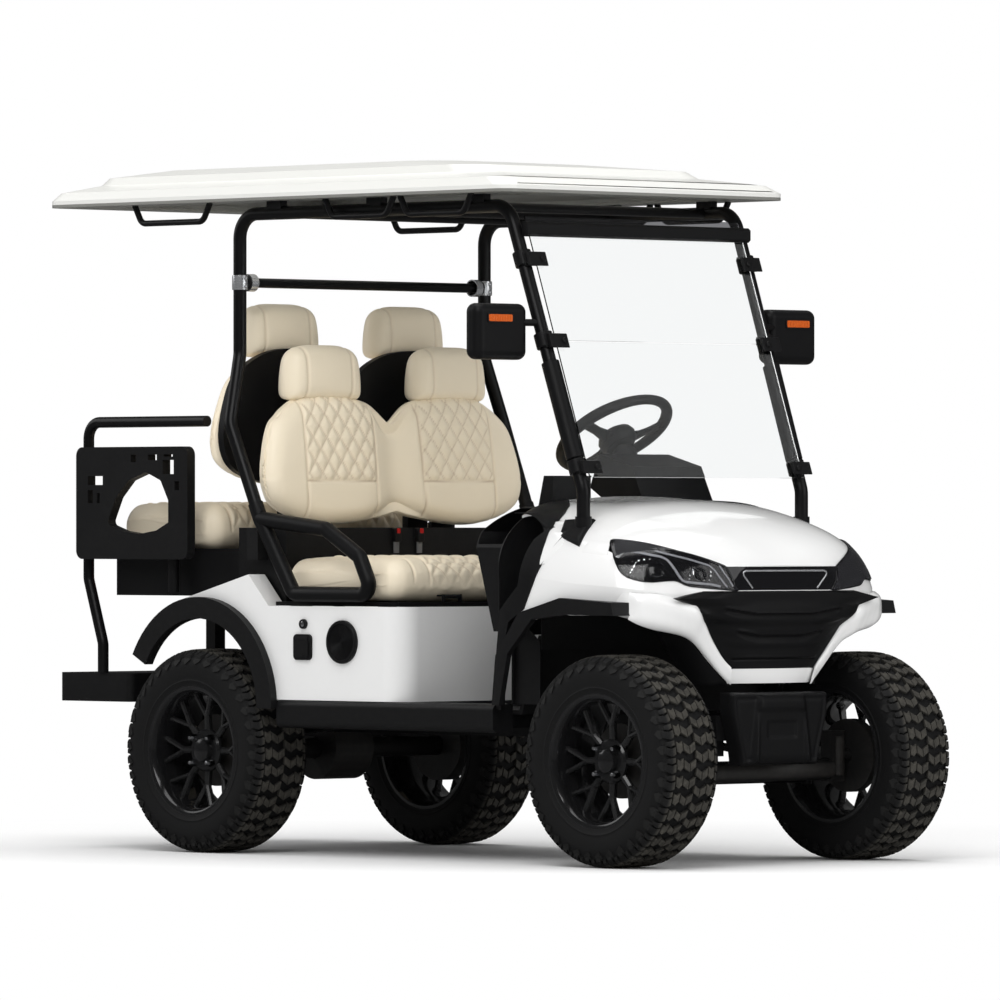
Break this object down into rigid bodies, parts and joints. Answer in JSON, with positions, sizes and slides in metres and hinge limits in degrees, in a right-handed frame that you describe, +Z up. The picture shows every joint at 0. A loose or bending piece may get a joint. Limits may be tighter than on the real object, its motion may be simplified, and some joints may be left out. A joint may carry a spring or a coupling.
{
  "type": "golf cart",
  "caption": "Open electric golf cart with a front bench, a rear-facing back bench, a roof on tube posts, a clear windscreen and raised off-road wheels.",
  "frame": {"origin": "on the floor, under the middle of the whole cart", "axes": "+X forward, +Y to the cart's left, +Z up"},
  "size_m": [2.632, 1.352, 1.988],
  "materials": {
    "body_white": "gloss white moulded body",
    "roof_white": "satin white moulded roof",
    "black_plastic": "grained black moulding",
    "gloss_black": "polished black",
    "black_metal": "satin black powder coat",
    "axle_iron": "painted black iron",
    "clear_lens": "clear lamp lens over chrome",
    "clear_glass": "clear acrylic",
    "red_lens": "red lens",
    "cream_leather": "cream upholstery with quilting",
    "battery_case": "black case",
    "tyre_rubber": "black rubber",
    "rim_black": "gloss black cast wheel"
  },
  "bodies": {
    "root": {"armrest_panels": "black_plastic", "armrest_rails": "black_metal", "battery_pack": "battery_case", "belt_buckles": "red_lens", "belt_retractors": "black_plastic", "chassis_frame": "black_metal", "cowl_trims": "black_plastic", "dashboard": "black_plastic", "fender_flares": "black_plastic", "floor_pan": "black_plastic", "front_axle": "axle_iron", "front_bumper": "black_plastic", "front_cowl": "body_white", "front_seat_back": "cream_leather", "grille": "black_plastic", "headlights": "clear_lens", "headrests": "cream_leather", "hip_restraints": "black_plastic", "leaf_springs": "black_metal", "mirrors": "black_plastic", "nose_strip": "gloss_black", "pillar_boots": "black_plastic", "rear_axle": "axle_iron", "rear_body": "body_white", "rear_footplate": "black_plastic", "rear_seat_back": "cream_leather", "roof_crossbar": "black_metal", "roof_frame": "black_metal", "roof_handles": "black_metal", "roof_panel": "roof_white", "seat_back_brackets": "black_metal", "seat_back_shells": "black_plastic", "seat_deck": "black_plastic", "seat_legs": "black_metal", "side_fittings": "black_plastic", "sills": "black_plastic", "tail_lights": "red_lens", "windscreen": "clear_glass", "windscreen_fittings": "black_plastic"},
    "front_seat": {"front_seat_cushion": "cream_leather"},
    "rear_seat": {"rear_seat_cushion": "cream_leather"},
    "steering": {"steering_wheel": "black_plastic"},
    "knuckle_right": {"knuckle_right": "axle_iron"},
    "knuckle_left": {"knuckle_left": "axle_iron"},
    "tie_rod": {"tie_rod": "black_metal"},
    "wheel_front_left": {"tyre_front_left": "tyre_rubber", "rim_front_left": "rim_black"},
    "wheel_front_right": {"tyre_front_right": "tyre_rubber", "rim_front_right": "rim_black"},
    "wheel_rear_left": {"tyre_rear_left": "tyre_rubber", "rim_rear_left": "rim_black"},
    "wheel_rear_right": {"tyre_rear_right": "tyre_rubber", "rim_rear_right": "rim_black"}
  },
  "joints": [
    {"name": "steer_right", "type": "hinge", "parent": "root", "child": "knuckle_right", "pos_m": [1.021, -0.395, 0.295], "axis": [0, 0, 1], "range_deg": [-28, 28]},
    {"name": "steer_left", "type": "hinge", "parent": "root", "child": "knuckle_left", "pos_m": [1.021, 0.395, 0.295], "axis": [0, 0, 1], "range_deg": [-28, 28]},
    {"name": "tie_rod_end", "type": "hinge", "parent": "knuckle_right", "child": "tie_rod", "pos_m": [0.901, -0.395, 0.23], "axis": [0, 0, 1], "range_deg": [-28, 28]},
    {"name": "steering_turn", "type": "hinge", "parent": "root", "child": "steering", "pos_m": [0.3, 0.215, 1.212], "axis": [-0.5736, 0, 0.8192], "range_deg": [-421, 421]},
    {"name": "front_left_spin", "type": "hinge", "parent": "knuckle_left", "child": "wheel_front_left", "pos_m": [1.021, 0.4625, 0.295], "axis": [0, 1, 0], "continuous": true},
    {"name": "front_right_spin", "type": "hinge", "parent": "knuckle_right", "child": "wheel_front_right", "pos_m": [1.021, -0.4625, 0.295], "axis": [0, 1, 0], "continuous": true},
    {"name": "rear_left_spin", "type": "hinge", "parent": "root", "child": "wheel_rear_left", "pos_m": [-0.653, 0.4625, 0.295], "axis": [0, 1, 0], "continuous": true},
    {"name": "rear_right_spin", "type": "hinge", "parent": "root", "child": "wheel_rear_right", "pos_m": [-0.653, -0.4625, 0.295], "axis": [0, 1, 0], "continuous": true},
    {"name": "front_seat_lift", "type": "hinge", "parent": "root", "child": "front_seat", "pos_m": [0.167, 0, 0.745], "axis": [0, 1, 0], "range_deg": [0, 50]},
    {"name": "rear_seat_flip", "type": "hinge", "parent": "root", "child": "rear_seat", "pos_m": [-1.12, 0, 0.879], "axis": [0, -1, 0], "range_deg": [0, 180]}
  ],
  "couplings": [
    {"joint": "steer_left", "follows": "steer_right", "ratio": 1},
    {"joint": "tie_rod_end", "follows": "steer_right", "ratio": -1},
    {"joint": "steering_turn", "follows": "steer_right", "ratio": 15}
  ]
}
